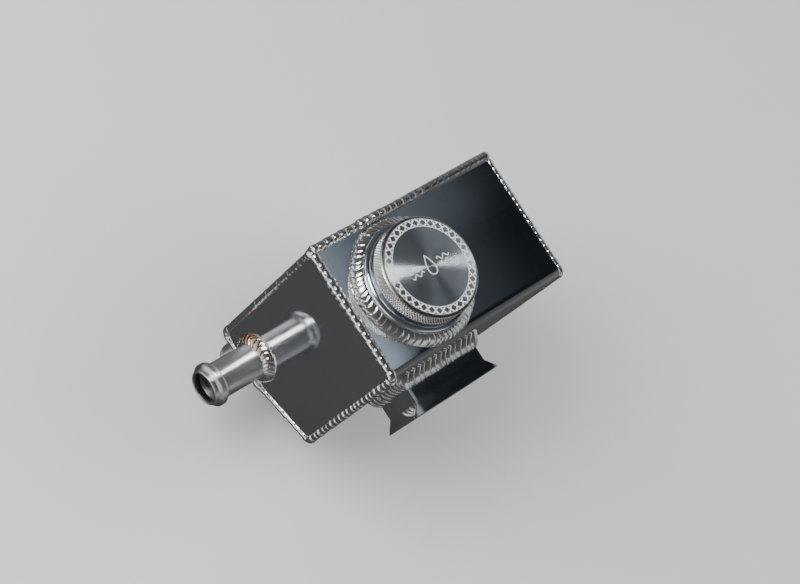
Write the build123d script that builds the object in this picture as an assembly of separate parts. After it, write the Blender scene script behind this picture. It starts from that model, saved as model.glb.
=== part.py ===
from build123d import *
import os
from math import cos, pi, sin

# Welded aluminium hydraulic reservoir, in millimetres.
#
# Every sub-part is drawn in the tank's own layout: X runs from the front end plate to the
# rear one, Y from the right side (which carries the dovetail) to the left side, and Z from
# the flat of the sump up to the top panel. write_node() then shifts each sub-part so that
# the row's origin is the middle of the dovetail's outer face.

# ---- tank body -------------------------------------------------------------------------
LENGTH = 122.0          # over both end plates
WIDTH = 70.0            # over both sides
HEIGHT = 106.0          # sump flat to top panel
SUMP_FLAT = 31.0        # width of the level part of the bottom, beside the left side
SUMP_RISE = 12.0        # how much higher the bottom is at the right side
SHEET = 2.0             # wrapper and end plate thickness
BEND_R = 4.0            # outside radius of the wrapper's bends
NOTCH = 1.4             # open corner that a weld fills
FRONT_BEAD_R = 2.2      # bead round the front plate
FRONT_BEAD_X = 1.3      # its centre line, behind the plate's face
FRONT_BEAD_INSET = 0.1  # and inside the outline
REAR_BEAD_R = 1.7       # bead round the rear plate, which sits inside the wrapper
REAR_BEAD_INSET = 1.0
SEAM_BEAD_R = 2.4       # bead along the seam corner
SEAM_BEAD_OUT = 0.6     # its centre line stands this far out of both walls
BEAD_TURN_EXTRA = 0.7   # a bead turns the seam corner on its own radius and this much more

# ---- filler neck and cap ---------------------------------------------------------------
FILLER_X = 41.0
FILLER_Y = WIDTH / 2
NECK_R = 29.0           # flange radius
NECK_RISE = 7.8         # flange height above the top panel
NECK_EDGE = 2.0         # rounding of the flange's top edge
NECK_SPIGOT_R = 24.0    # part of the neck that drops through the top panel
NECK_DROP = 5.0         # how far the spigot hangs below the panel's outer face
NECK_BORE_R = 20.5      # plain bore that stands for the female thread
LEDGE_R = 18.5          # bore of the ledge that carries the strainer
LEDGE_THICKNESS = 2.0
CAP_R = 26.0
CAP_THICKNESS = 8.8     # knurled head
CAP_GAP = 1.8           # between the neck's top face and the cap's head
CAP_TOP_CHAMFER = 1.2
CAP_LOW_CHAMFER = 0.5
CAP_STUB_R = 20.2       # plain stub that stands for the male thread
CAP_STUB_END = -1.3     # stub's lower end, from the top panel's outer face
CAP_RECESS_R = 15.5     # lightening recess in the underside
CAP_ROOF = 4.0          # metal left above the recess
GROOVE_DEPTH = 1.0      # O-ring groove in the head's underside
GROOVE_R = 23.2
RING_CORD_R = 1.3       # O-ring section radius
RING_R = 21.7           # O-ring centre-line radius

# ---- strainer --------------------------------------------------------------------------
RIM_R = 20.2
RIM_THICKNESS = 1.2
CUP_R = 18.1
CUP_WALL = 0.8
CUP_DEPTH = 34.0
CUP_HOLE_R = 2.6
CUP_ROWS = 4
CUP_ROW_PITCH = 6.8
CUP_HOLES_ROUND = 14
CUP_FLOOR_HOLE_R = 2.1
CUP_FLOOR_HOLES = [(1, 0.0), (6, 7.0), (12, 13.5)]   # (number, radius of their circle)

# ---- hose tubes ------------------------------------------------------------------------
FRONT_TUBE_R = 9.5
FRONT_TUBE_WALL = 1.6
FRONT_TUBE_Y = 49.0
FRONT_TUBE_Z = 14.3
FRONT_TUBE_LENGTH = 35.2   # out from the front plate
FRONT_COLLAR_R = 11.7
FRONT_WELD_LEG = 4.5
BOTTOM_TUBE_R = 8.0
BOTTOM_TUBE_WALL = 1.5
BOTTOM_TUBE_X = 13.4
BOTTOM_TUBE_Y = 57.9
BOTTOM_TUBE_LENGTH = 30.0  # down from the sump flat
BOTTOM_COLLAR_R = 9.8
BOTTOM_WELD_LEG = 3.4
COLLAR_FROM_END = 4.7      # rolled hose collar, middle to tube end
COLLAR_WIDTH = 4.6
TUBE_HOLE_CLEARANCE = 0.05

# ---- dovetail mount --------------------------------------------------------------------
DOVETAIL_X = 51.0          # middle, from the front plate
DOVETAIL_Z = 59.2          # middle, half way up the right side
DOVETAIL_NECK = 48.5       # width along X where it is welded on
DOVETAIL_WIDTH = 60.5      # width along X of the outer face
DOVETAIL_NECK_DEPTH = 14.3
DOVETAIL_DEPTH = 20.6
DOVETAIL_HEIGHT = 28.5
DOVETAIL_CHAMFER = 0.4
DOVETAIL_WELD_LEG = 5.2    # on the side panel
DOVETAIL_WELD_DEPTH = 6.8  # along the block
DOVETAIL_WELD_TIP = 0.4    # thickness left at the weld's outer edge

# ---- welds and baffle ------------------------------------------------------------------
NECK_WELD_LEG = 4.7
SKIRT = 2.0                # a round weld reaches this far down where a bend falls away
BAFFLE_X = 72.0
BAFFLE_THICKNESS = 1.6
BAFFLE_CLEARANCE = 0.3
BAFFLE_HOLE_R = 5.0
BAFFLE_ROWS = 5
BAFFLE_COLUMNS = 3
BAFFLE_PITCH = 15.0
BAFFLE_HOLES_Z = 57.0      # height of the middle row of holes
BAFFLE_NOTCH = 10.0        # drain notch in the lower edge, vent notch in the upper one
TACK_R = 2.2
TACK_LENGTH = 9.0
SIDE_TACKS = [(0, 32.0), (0, 85.0), (1, 21.0), (1, 80.0)]   # (right or left wall, height)
EDGE_TACKS = [(1, 10.0), (1, 60.0), (0, 46.0), (0, 64.0)]   # (bottom or top wall, Y)

ROW_ORIGIN = Vector(DOVETAIL_X, -DOVETAIL_DEPTH, DOVETAIL_Z)

# Cross-section corners as (Y, Z). The first is the seam corner, the others are bends.
CORNERS = [
    (WIDTH, HEIGHT),
    (0, HEIGHT),
    (0, SUMP_RISE),
    (WIDTH - SUMP_FLAT, 0),
    (WIDTH, 0),
]


def section(inset=0.0, seam_radius=0.0):
    """The tank's cross-section, moved inward by inset, with its bends rounded."""
    face = make_face(Polyline(*CORNERS, close=True))
    if inset > 0:
        face = offset(face, -inset, kind=Kind.INTERSECTION)
    corners = face.vertices().sort_by(lambda v: v.X + v.Y)
    seam_corner = corners[-1]
    face = fillet(corners[:-1], BEND_R - inset)
    if seam_radius > 0:
        seam_corner = face.vertices().sort_by(lambda v: v.X + v.Y)[-1]
        face = fillet(seam_corner, seam_radius)
    return face


def prism(face, start, end):
    """A cross-section face run along X from start to end."""
    return extrude(Plane.YZ.offset(start) * face, end - start)


def rod(centre, axis, radius, start, end):
    """A cylinder about an axis line, from start to end along it."""
    plane = Plane(origin=centre, z_dir=axis).offset(start)
    return extrude(plane * Circle(radius), end - start)


def ring(plane, profile):
    """Turns a closed (radius, height) profile about a plane's Z axis."""
    flat = Plane(origin=plane.origin, x_dir=plane.x_dir, z_dir=-plane.y_dir)
    return revolve(flat * profile, Axis(plane.origin, plane.z_dir))


# ---- places that several sub-parts share -------------------------------------------------
filler_plane = Plane(origin=(FILLER_X, FILLER_Y, HEIGHT), x_dir=(1, 0, 0), z_dir=(0, 0, 1))
front_tube_plane = Plane(origin=(0, FRONT_TUBE_Y, FRONT_TUBE_Z), x_dir=(0, 1, 0), z_dir=(-1, 0, 0))
bottom_tube_plane = Plane(origin=(BOTTOM_TUBE_X, BOTTOM_TUBE_Y, 0), x_dir=(1, 0, 0), z_dir=(0, 0, -1))


def make_shell_wrapper():
    """Folded sheet: top, right side, sloping bottom, sump flat and left side."""
    shell = prism(section() - section(SHEET), SHEET, LENGTH)
    seam_notch = Pos(LENGTH / 2, WIDTH - NOTCH / 2, HEIGHT - NOTCH / 2) * Box(LENGTH, NOTCH, NOTCH)
    filler_hole = rod(filler_plane.origin, (0, 0, 1), NECK_SPIGOT_R + TUBE_HOLE_CLEARANCE, -2 * SHEET, SHEET)
    tube_hole_r = BOTTOM_TUBE_R + TUBE_HOLE_CLEARANCE
    tube_hole = rod(bottom_tube_plane.origin, (0, 0, -1), tube_hole_r, -2 * SHEET, SHEET)
    return shell - seam_notch - filler_hole - tube_hole


def make_front_end_plate():
    """Plate that caps the wrapper's front edge, smaller by the notch that its weld fills."""
    hole = rod(front_tube_plane.origin, (-1, 0, 0), FRONT_TUBE_R + TUBE_HOLE_CLEARANCE, -2 * SHEET, SHEET)
    return prism(section(NOTCH), 0, SHEET) - hole


def make_rear_end_plate():
    """Plate let into the wrapper, flush with its rear edge."""
    return prism(section(SHEET), LENGTH - SHEET, LENGTH)


def bead_round(outline, x, radius):
    """A round bead that follows an outline of the cross-section all the way round."""
    path = (Plane.YZ.offset(x) * outline).wire()
    return sweep(Plane(origin=path @ 0, z_dir=path % 0) * Circle(radius), path=path)


def make_front_weld():
    """The bead that fills the corner between the front plate and the wrapper."""
    bead = bead_round(section(FRONT_BEAD_INSET, FRONT_BEAD_R + BEAD_TURN_EXTRA), FRONT_BEAD_X, FRONT_BEAD_R)
    return bead - prism(section(NOTCH), 0, LENGTH) - prism(section(), SHEET, LENGTH)


def make_rear_weld():
    """The bead over the joint between the rear plate and the wrapper's edge."""
    bead = bead_round(section(REAR_BEAD_INSET, REAR_BEAD_R + BEAD_TURN_EXTRA), LENGTH, REAR_BEAD_R)
    return bead - prism(section(), 0, LENGTH)


def make_seam_weld(shell, end_welds):
    """A bead along the corner where the wrapper's two free edges meet."""
    line = Vector(0, WIDTH + SEAM_BEAD_OUT, HEIGHT + SEAM_BEAD_OUT)
    bead = rod(line, (1, 0, 0), SEAM_BEAD_R, SHEET, LENGTH)
    bead -= prism(section(SHEET), 0, LENGTH)
    bead -= shell
    for weld in end_welds:
        bead -= weld
    return bead


def make_filler_neck():
    """Turned weld-on neck: flange, spigot through the panel, bore and strainer ledge."""
    outer = [
        (LEDGE_R, -NECK_DROP),
        (NECK_SPIGOT_R, -NECK_DROP),
        (NECK_SPIGOT_R, 0),
        (NECK_R, 0),
        (NECK_R, NECK_RISE),
        (NECK_BORE_R, NECK_RISE),
        (NECK_BORE_R, LEDGE_THICKNESS - NECK_DROP),
        (LEDGE_R, LEDGE_THICKNESS - NECK_DROP),
    ]
    profile = make_face(Polyline(*outer, close=True))
    rim = profile.vertices().sort_by(lambda v: v.X + v.Y)[-1]
    return ring(filler_plane, fillet(rim, NECK_EDGE))


def fillet_weld(plane, tube_radius, leg, skirt):
    """A round fillet weld about a tube that stands on a panel."""
    bulge = 0.56 * leg
    toe = tube_radius + leg
    crown = ThreePointArc((toe, 0), (tube_radius + bulge, bulge), (tube_radius, leg))
    if skirt > 0:
        sides = Polyline((tube_radius, leg), (tube_radius, -skirt), (toe, -skirt), (toe, 0))
    else:
        sides = Polyline((tube_radius, leg), (tube_radius, 0), (toe, 0))
    return ring(plane, make_face([crown, sides]))


def collared_tube(plane, radius, wall, length, collar_radius):
    """A straight hose tube through the panel, with a rolled collar near its open end."""
    root = -SHEET
    middle = length - COLLAR_FROM_END
    half = COLLAR_WIDTH / 2
    tube = ring(plane, Pos(radius - wall / 2, (length + root) / 2) * Rectangle(wall, length - root))
    bulge = make_face([
        Polyline((radius, middle + half), (radius - wall / 2, middle + half),
                 (radius - wall / 2, middle - half), (radius, middle - half)),
        ThreePointArc((radius, middle - half), (collar_radius, middle), (radius, middle + half)),
    ])
    return tube + ring(plane, bulge)


def make_dovetail():
    """Solid dovetail block: a plain neck that flares out to the clamped face."""
    neck = DOVETAIL_NECK / 2
    wide = DOVETAIL_WIDTH / 2
    neck_z, foot_z = -DOVETAIL_NECK_DEPTH, -DOVETAIL_DEPTH
    half_outline = [(0, 0), (neck, 0), (neck, neck_z), (wide, foot_z), (0, foot_z)]
    half = make_face(Polyline(*half_outline, close=True))
    outline = half + mirror(half, about=Plane.YZ)
    block = extrude(Pos(DOVETAIL_X, 0, DOVETAIL_Z - DOVETAIL_HEIGHT / 2) * outline, DOVETAIL_HEIGHT)
    block = block.clean()
    outer_face = block.faces().sort_by(Axis.Y)[0]
    return chamfer(outer_face.edges().filter_by(Axis.X), DOVETAIL_CHAMFER)


def make_dovetail_weld(dovetail):
    """A fillet weld round the root of the dovetail."""
    side = Plane(origin=(DOVETAIL_X, 0, DOVETAIL_Z), x_dir=(1, 0, 0), z_dir=(0, -1, 0))
    leg, tip = DOVETAIL_WELD_LEG, DOVETAIL_WELD_TIP
    foot = RectangleRounded(DOVETAIL_NECK + 2 * leg, DOVETAIL_HEIGHT + 2 * leg, leg)
    crest = RectangleRounded(DOVETAIL_NECK + 2 * tip, DOVETAIL_HEIGHT + 2 * tip, tip)
    mound = loft([side * foot, side.offset(DOVETAIL_WELD_DEPTH) * crest])
    return mound - dovetail


def make_baffle_plate():
    """Perforated cross plate that stops the fluid surging between the two halves."""
    start = BAFFLE_X - BAFFLE_THICKNESS / 2
    plate = prism(section(SHEET + BAFFLE_CLEARANCE), start, start + BAFFLE_THICKNESS)
    for row in range(BAFFLE_ROWS):
        for column in range(BAFFLE_COLUMNS):
            y = WIDTH / 2 + (column - (BAFFLE_COLUMNS - 1) / 2) * BAFFLE_PITCH
            z = BAFFLE_HOLES_Z + (row - (BAFFLE_ROWS - 1) / 2) * BAFFLE_PITCH
            plate -= rod((start, y, z), (1, 0, 0), BAFFLE_HOLE_R, -1, BAFFLE_THICKNESS + 1)
    notch = Box(4 * BAFFLE_THICKNESS, BAFFLE_NOTCH, 2 * BAFFLE_NOTCH)
    plate -= Pos(BAFFLE_X, WIDTH - SUMP_FLAT / 2, 0) * notch
    plate -= Pos(BAFFLE_X, WIDTH / 2, HEIGHT) * notch
    return plate


def make_baffle_tacks(baffle):
    """Short fillet tacks that hold the baffle to the wrapper, two on each wall it meets."""
    x = BAFFLE_X + BAFFLE_THICKNESS / 2
    inside = prism(section(SHEET), SHEET, LENGTH - SHEET)
    rods = []
    for left, z in SIDE_TACKS:
        y = WIDTH - SHEET if left else SHEET
        rods.append(rod((x, y, z), (0, 0, 1), TACK_R, -TACK_LENGTH / 2, TACK_LENGTH / 2))
    for top, y in EDGE_TACKS:
        z = HEIGHT - SHEET if top else SHEET
        rods.append(rod((x, y, z), (0, 1, 0), TACK_R, -TACK_LENGTH / 4, TACK_LENGTH / 4))
    tacks = [(tack & inside) - baffle for tack in rods]
    return Compound(children=[solid for tack in tacks for solid in tack.solids()])


def make_strainer_rim():
    """Flat ring that rests on the neck's ledge and carries the strainer cup."""
    low = LEDGE_THICKNESS - NECK_DROP
    wall = RIM_R - CUP_R
    return ring(filler_plane, Pos(CUP_R + wall / 2, low + RIM_THICKNESS / 2) * Rectangle(wall, RIM_THICKNESS))


def make_strainer_cup():
    """Perforated cup that hangs from the rim into the tank."""
    top = LEDGE_THICKNESS - NECK_DROP + RIM_THICKNESS
    cup = ring(filler_plane, make_face(Polyline(
        (0, top - CUP_DEPTH), (CUP_R, top - CUP_DEPTH), (CUP_R, top), (CUP_R - CUP_WALL, top),
        (CUP_R - CUP_WALL, top - CUP_DEPTH + CUP_WALL), (0, top - CUP_DEPTH + CUP_WALL), close=True)))
    centre = filler_plane.origin
    floor_z = HEIGHT + top - CUP_DEPTH
    first_row = floor_z + 2.4 * CUP_HOLE_R
    for row in range(CUP_ROWS):
        for step in range(CUP_HOLES_ROUND):
            turn = 2 * pi * (step + 0.5 * (row % 2)) / CUP_HOLES_ROUND
            spot = Vector(centre.X, centre.Y, first_row + row * CUP_ROW_PITCH)
            cup -= rod(spot, (cos(turn), sin(turn), 0), CUP_HOLE_R, CUP_R - 2 * CUP_WALL, CUP_R + CUP_WALL)
    for count, radius in CUP_FLOOR_HOLES:
        for step in range(count):
            turn = 2 * pi * step / count
            spot = (centre.X + radius * cos(turn), centre.Y + radius * sin(turn), floor_z)
            cup -= rod(spot, (0, 0, 1), CUP_FLOOR_HOLE_R, -1, CUP_WALL + 1)
    return cup


def make_cap_body():
    """Screw cap: head, O-ring groove and the stub that goes into the neck."""
    low = NECK_RISE + CAP_GAP
    high = low + CAP_THICKNESS
    outer = [
        (0, high),
        (CAP_R - CAP_TOP_CHAMFER, high),
        (CAP_R, high - CAP_TOP_CHAMFER),
        (CAP_R, low + CAP_LOW_CHAMFER),
        (CAP_R - CAP_LOW_CHAMFER, low),
        (GROOVE_R, low),
        (GROOVE_R, low + GROOVE_DEPTH),
        (CAP_STUB_R, low + GROOVE_DEPTH),
        (CAP_STUB_R, CAP_STUB_END),
        (CAP_RECESS_R, CAP_STUB_END),
        (CAP_RECESS_R, high - CAP_ROOF),
        (0, high - CAP_ROOF),
    ]
    return ring(filler_plane, make_face(Polyline(*outer, close=True)))


def make_cap_o_ring():
    """O-ring held between the neck's top face and the groove in the cap."""
    low = NECK_RISE
    high = NECK_RISE + CAP_GAP + GROOVE_DEPTH
    return ring(filler_plane, Pos(RING_R, (low + high) / 2) * Circle(RING_CORD_R))


def write_node(name, shape):
    """Moves a sub-part into the row's frame and writes its STEP file."""
    solids = [solid.moved(Location(-ROW_ORIGIN)) for solid in shape.solids()]
    body = solids[0] if len(solids) == 1 else Compound(children=solids)
    export_step(body, f"parts/{name}.step")


def main():
    os.makedirs("parts", exist_ok=True)
    shell = make_shell_wrapper()
    front_weld = make_front_weld()
    rear_weld = make_rear_weld()
    seam_weld = make_seam_weld(shell, [front_weld, rear_weld])
    neck_weld = fillet_weld(filler_plane, NECK_R, NECK_WELD_LEG, SKIRT)
    neck_weld = neck_weld - prism(section(), 0, LENGTH) - seam_weld
    front_tube_weld = fillet_weld(front_tube_plane, FRONT_TUBE_R, FRONT_WELD_LEG, 0) - front_weld
    bottom_tube_weld = fillet_weld(bottom_tube_plane, BOTTOM_TUBE_R, BOTTOM_WELD_LEG, SKIRT)
    bottom_tube_weld = bottom_tube_weld - prism(section(), 0, LENGTH) - front_weld
    dovetail = make_dovetail()
    baffle = make_baffle_plate()

    nodes = {
        "shell_wrapper": shell,
        "front_end_plate": make_front_end_plate(),
        "rear_end_plate": make_rear_end_plate(),
        "seam_weld": seam_weld,
        "front_end_weld": front_weld,
        "rear_end_weld": rear_weld,
        "filler_neck": make_filler_neck(),
        "filler_neck_weld": neck_weld,
        "front_hose_tube": collared_tube(front_tube_plane, FRONT_TUBE_R, FRONT_TUBE_WALL,
                                         FRONT_TUBE_LENGTH, FRONT_COLLAR_R),
        "front_hose_tube_weld": front_tube_weld,
        "bottom_hose_tube": collared_tube(bottom_tube_plane, BOTTOM_TUBE_R, BOTTOM_TUBE_WALL,
                                          BOTTOM_TUBE_LENGTH, BOTTOM_COLLAR_R),
        "bottom_hose_tube_weld": bottom_tube_weld,
        "mounting_dovetail": dovetail,
        "mounting_dovetail_weld": make_dovetail_weld(dovetail),
        "baffle_plate": baffle,
        "baffle_tack_welds": make_baffle_tacks(baffle),
        "strainer_rim": make_strainer_rim(),
        "strainer_cup": make_strainer_cup(),
        "cap_body": make_cap_body(),
        "cap_o_ring": make_cap_o_ring(),
    }
    for name, shape in nodes.items():
        write_node(name, shape)


main()
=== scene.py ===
"""Looks for the welded aluminium hydraulic reservoir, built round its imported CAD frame."""
import math
import random
from contextlib import contextmanager

import bmesh
import bpy
from mathutils import Matrix, Vector, noise
from mathutils.geometry import delaunay_2d_cdt


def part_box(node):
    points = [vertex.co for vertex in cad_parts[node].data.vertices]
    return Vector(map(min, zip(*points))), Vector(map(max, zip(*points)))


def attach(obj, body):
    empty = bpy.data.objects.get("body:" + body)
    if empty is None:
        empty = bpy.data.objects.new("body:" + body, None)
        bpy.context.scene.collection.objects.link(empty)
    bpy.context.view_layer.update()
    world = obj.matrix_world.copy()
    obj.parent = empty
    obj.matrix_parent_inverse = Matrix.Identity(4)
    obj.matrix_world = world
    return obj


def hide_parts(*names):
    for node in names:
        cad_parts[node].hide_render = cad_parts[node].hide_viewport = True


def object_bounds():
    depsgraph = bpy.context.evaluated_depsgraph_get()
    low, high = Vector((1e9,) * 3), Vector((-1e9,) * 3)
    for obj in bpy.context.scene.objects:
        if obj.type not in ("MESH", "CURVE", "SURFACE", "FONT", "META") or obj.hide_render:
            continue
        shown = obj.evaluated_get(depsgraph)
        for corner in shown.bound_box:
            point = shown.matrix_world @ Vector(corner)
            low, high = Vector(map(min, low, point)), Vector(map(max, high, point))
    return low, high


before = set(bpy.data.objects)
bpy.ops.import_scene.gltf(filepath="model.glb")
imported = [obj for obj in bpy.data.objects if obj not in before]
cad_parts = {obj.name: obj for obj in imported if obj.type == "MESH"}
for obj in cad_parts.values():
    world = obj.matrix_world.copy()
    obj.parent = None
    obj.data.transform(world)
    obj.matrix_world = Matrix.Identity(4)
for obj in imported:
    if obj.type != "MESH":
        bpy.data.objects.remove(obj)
CAD_LOW, CAD_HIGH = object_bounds()
CAD_CENTRE = (CAD_LOW + CAD_HIGH) / 2
MM = 0.001
X, Y, Z = Vector((1, 0, 0)), Vector((0, 1, 0)), Vector((0, 0, 1))

# ---- sizes that the CAD boxes don't give ---------------------------------------------
SHEET = 2.0 * MM
BEND_R = 4.0 * MM
NOTCH = 1.4 * MM
SUMP_FLAT = 31.0 * MM
SUMP_RISE = 12.0 * MM
FRONT_BEAD_R = 2.15 * MM
FRONT_BEAD_INSET = 0.1 * MM
FRONT_BEAD_BACK = 1.3 * MM
REAR_BEAD_R = 1.6 * MM
REAR_BEAD_INSET = 1.0 * MM
SEAM_BEAD_R = 2.2 * MM
SEAM_BEAD_OUT = 0.6 * MM
NECK_WELD_LEG = 4.7 * MM
FRONT_WELD_LEG = 4.5 * MM
BOTTOM_WELD_LEG = 3.4 * MM
DOVETAIL_WELD_LEG = 5.2 * MM
DOVETAIL_WELD_DEPTH = 6.8 * MM
THREAD_PITCH = 2.0 * MM
FRONT_TUBE_WALL, FRONT_COLLAR_RISE = 1.6 * MM, 2.2 * MM
BOTTOM_TUBE_WALL, BOTTOM_COLLAR_RISE = 1.5 * MM, 1.8 * MM
COLLAR_FROM_END = 4.7 * MM      # a hose collar's middle to the tube's end
COLLAR_HALF = 2.3 * MM
DOVETAIL_NECK = 48.5 * MM
DOVETAIL_LIP = 6.3 * MM
TIP_WEAR = 0.5 * MM             # how far the dovetail's thin tips are rounded off
CAP_THICKNESS = 8.8 * MM
CAP_ROOF = 4.0 * MM
KNURLS = 116
KNURL_DEPTH = 0.6 * MM
GROOVE_R, GROOVE_DEPTH = 23.2 * MM, 1.0 * MM
STUB_R = 20.75 * MM
RECESS_R = 15.5 * MM
RING_OUTER, RING_INNER = 24.3 * MM, 20.3 * MM
RING_CELLS = 34
MARK_PROUD = 0.03 * MM

# ---- places, from the frame -------------------------------------------------------------
SHELL_LOW, SHELL_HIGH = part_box("shell_wrapper")
FRONT_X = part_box("front_end_plate")[0].x
REAR_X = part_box("rear_end_plate")[1].x
TOP_Z = SHELL_HIGH.z
NECK_LOW, NECK_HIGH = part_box("filler_neck")
CAP_LOW, CAP_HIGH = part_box("cap_body")
FILLER = Vector(((NECK_LOW.x + NECK_HIGH.x) / 2, (NECK_LOW.y + NECK_HIGH.y) / 2, TOP_Z))
NECK_R = (NECK_HIGH.x - NECK_LOW.x) / 2
SPIGOT_R = NECK_R - 5.0 * MM
CAP_R = (CAP_HIGH.x - CAP_LOW.x) / 2
FRONT_TUBE_LOW, FRONT_TUBE_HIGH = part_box("front_hose_tube")
FRONT_TUBE = Vector((FRONT_X, *((FRONT_TUBE_LOW + FRONT_TUBE_HIGH) / 2).yz))
FRONT_COLLAR_R = (FRONT_TUBE_HIGH.z - FRONT_TUBE_LOW.z) / 2
FRONT_TUBE_R = FRONT_COLLAR_R - FRONT_COLLAR_RISE
BOTTOM_TUBE_LOW, BOTTOM_TUBE_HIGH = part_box("bottom_hose_tube")
BOTTOM_TUBE = Vector((*((BOTTOM_TUBE_LOW + BOTTOM_TUBE_HIGH) / 2).xy, SHELL_LOW.z))
BOTTOM_COLLAR_R = (BOTTOM_TUBE_HIGH.x - BOTTOM_TUBE_LOW.x) / 2
BOTTOM_TUBE_R = BOTTOM_COLLAR_R - BOTTOM_COLLAR_RISE
DOVETAIL_LOW, DOVETAIL_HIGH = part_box("mounting_dovetail")


# ==== outlines ===========================================================================
def inset_outline(corners, distance):
    """Moves each side of a counter-clockwise outline inward."""
    moved = []
    count = len(corners)
    for i in range(count):
        before, here, after = (Vector(corners[(i + k) % count]) for k in (-1, 0, 1))
        side_in = (here - before).normalized()
        side_out = (after - here).normalized()
        normal_in = Vector((-side_in.y, side_in.x))
        normal_out = Vector((-side_out.y, side_out.x))
        bisector = (normal_in + normal_out).normalized()
        moved.append(here + bisector * distance / bisector.dot(normal_in))
    return moved


def rounded_outline(corners, radii, steps=10, closed=True):
    """An outline with each corner replaced by an arc of the given radius (0 keeps it sharp)."""
    points = []
    count = len(corners)
    for i, radius in enumerate(radii):
        here = Vector(corners[i])
        if radius <= 0 or (not closed and i in (0, count - 1)):
            points.append(here)
            continue
        to_before = (Vector(corners[i - 1]) - here).normalized()
        to_after = (Vector(corners[(i + 1) % count]) - here).normalized()
        half = to_before.angle(to_after) / 2
        reach = radius / math.tan(half)
        centre = here + (to_before + to_after).normalized() * radius / math.sin(half)
        start = here + to_before * reach - centre
        turn = start.angle_signed(here + to_after * reach - centre)
        for k in range(steps + 1):
            points.append(centre + Matrix.Rotation(-turn * k / steps, 2) @ start)
    return points


def tank_corners():
    """The tank's section corners as (Y, Z), counter-clockwise from the seam corner."""
    low, high = SHELL_LOW, SHELL_HIGH
    return [
        Vector((high.y, high.z)),
        Vector((low.y, high.z)),
        Vector((low.y, low.z + SUMP_RISE)),
        Vector((high.y - SUMP_FLAT, low.z)),
        Vector((high.y, low.z)),
    ]


def resample(points, step, closed):
    """Evenly spaced points along a polyline."""
    if closed:
        points = points + [points[0]]
    lengths = [0.0]
    for a, b in zip(points, points[1:]):
        lengths.append(lengths[-1] + (b - a).length)
    count = max(8, round(lengths[-1] / step))
    result = []
    segment = 0
    for k in range(count if closed else count + 1):
        target = lengths[-1] * k / count
        while segment < len(points) - 2 and lengths[segment + 1] < target:
            segment += 1
        span = max(lengths[segment + 1] - lengths[segment], 1e-12)
        result.append(points[segment].lerp(points[segment + 1], (target - lengths[segment]) / span))
    return result, lengths[-1]


def way_at(points, k, closed):
    """The direction of a line at its point k."""
    count = len(points)
    before = points[(k - 1) % count] if closed or k else points[k]
    after = points[(k + 1) % count] if closed or k < count - 1 else points[k]
    return (after - before).normalized()


# ==== meshes =============================================================================
def add_object(name, data):
    thing = bpy.data.objects.new(name, data)
    bpy.context.scene.collection.objects.link(thing)
    return thing


def face_towards(thing, direction):
    thing.rotation_mode = "QUATERNION"
    thing.rotation_quaternion = direction.to_track_quat("Z", "Y")


@contextmanager
def edited(mesh):
    """A mesh opened for editing, and written back afterwards."""
    work = bmesh.new()
    work.from_mesh(mesh)
    yield work
    work.to_mesh(mesh)
    work.free()


def make_object(name, vertices, faces, material, sharp_degrees=35.0):
    mesh = bpy.data.meshes.new(name)
    mesh.from_pydata(vertices, [], faces)
    mesh.validate()
    piece = add_object(name, mesh)
    finish_mesh(piece, sharp_degrees)
    mesh.materials.append(material)
    return piece


def finish_mesh(piece, sharp_degrees=35.0):
    """Outward normals and smooth shading that stops at real edges."""
    with edited(piece.data) as work:
        bmesh.ops.recalc_face_normals(work, faces=work.faces)
    piece.data.shade_smooth()
    piece.data.set_sharp_from_angle(angle=math.radians(sharp_degrees))


def prism_faces(count):
    """Faces of a prism whose two ends are runs of count vertices."""
    ends = [tuple(range(count)), tuple(range(2 * count - 1, count - 1, -1))]
    return ends + [(i, (i + 1) % count, count + (i + 1) % count, count + i) for i in range(count)]


def level_rectangle(name, centre, width, depth, material):
    corners = [(-width, -depth), (width, -depth), (width, depth), (-width, depth)]
    vertices = [centre + Vector((a / 2, b / 2, 0)) for a, b in corners]
    return make_object(name, vertices, [(0, 1, 2, 3)], material)


def lathe(name, profile, origin, axis, start, material, segments=160, shape=None, sharp_degrees=35.0):
    """Turns a closed (radius, height) profile. shape(i, radius, angle, height) may change a radius."""
    side = axis.cross(start)
    vertices, faces = [], []
    for k in range(segments):
        angle = 2 * math.pi * k / segments
        out = start * math.cos(angle) + side * math.sin(angle)
        for i, (radius, height) in enumerate(profile):
            if shape:
                radius = shape(i, radius, angle, height)
            vertices.append(origin + out * radius + axis * height)
    rows = len(profile)
    for k in range(segments):
        after = (k + 1) % segments
        for i in range(rows):
            j = (i + 1) % rows
            faces.append((k * rows + i, after * rows + i, after * rows + j, k * rows + j))
    piece = make_object(name, vertices, faces, material, sharp_degrees)
    weld_vertices(piece, 1e-7)
    finish_mesh(piece, sharp_degrees)
    return piece


def weld_vertices(piece, distance):
    with edited(piece.data) as work:
        bmesh.ops.remove_doubles(work, verts=work.verts, dist=distance)
        bmesh.ops.dissolve_degenerate(work, edges=work.edges, dist=distance)


def cut(piece, cutter):
    """Takes the cutter's shape out of the piece."""
    tool = piece.modifiers.new("cut", "BOOLEAN")
    tool.operation = "DIFFERENCE"
    tool.solver = "EXACT"
    tool.object = cutter
    apply_modifiers(piece)
    bpy.data.objects.remove(cutter)


def apply_modifiers(piece):
    graph = bpy.context.evaluated_depsgraph_get()
    mesh = bpy.data.meshes.new_from_object(piece.evaluated_get(graph))
    piece.modifiers.clear()
    piece.data = mesh


def cylinder_cutter(centre, axis, radius, half_length, material):
    start = axis.orthogonal().normalized()
    profile = [(0, -half_length), (radius, -half_length), (radius, half_length), (0, half_length)]
    return lathe("cutter", profile, centre, axis, start, material, segments=96)


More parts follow.
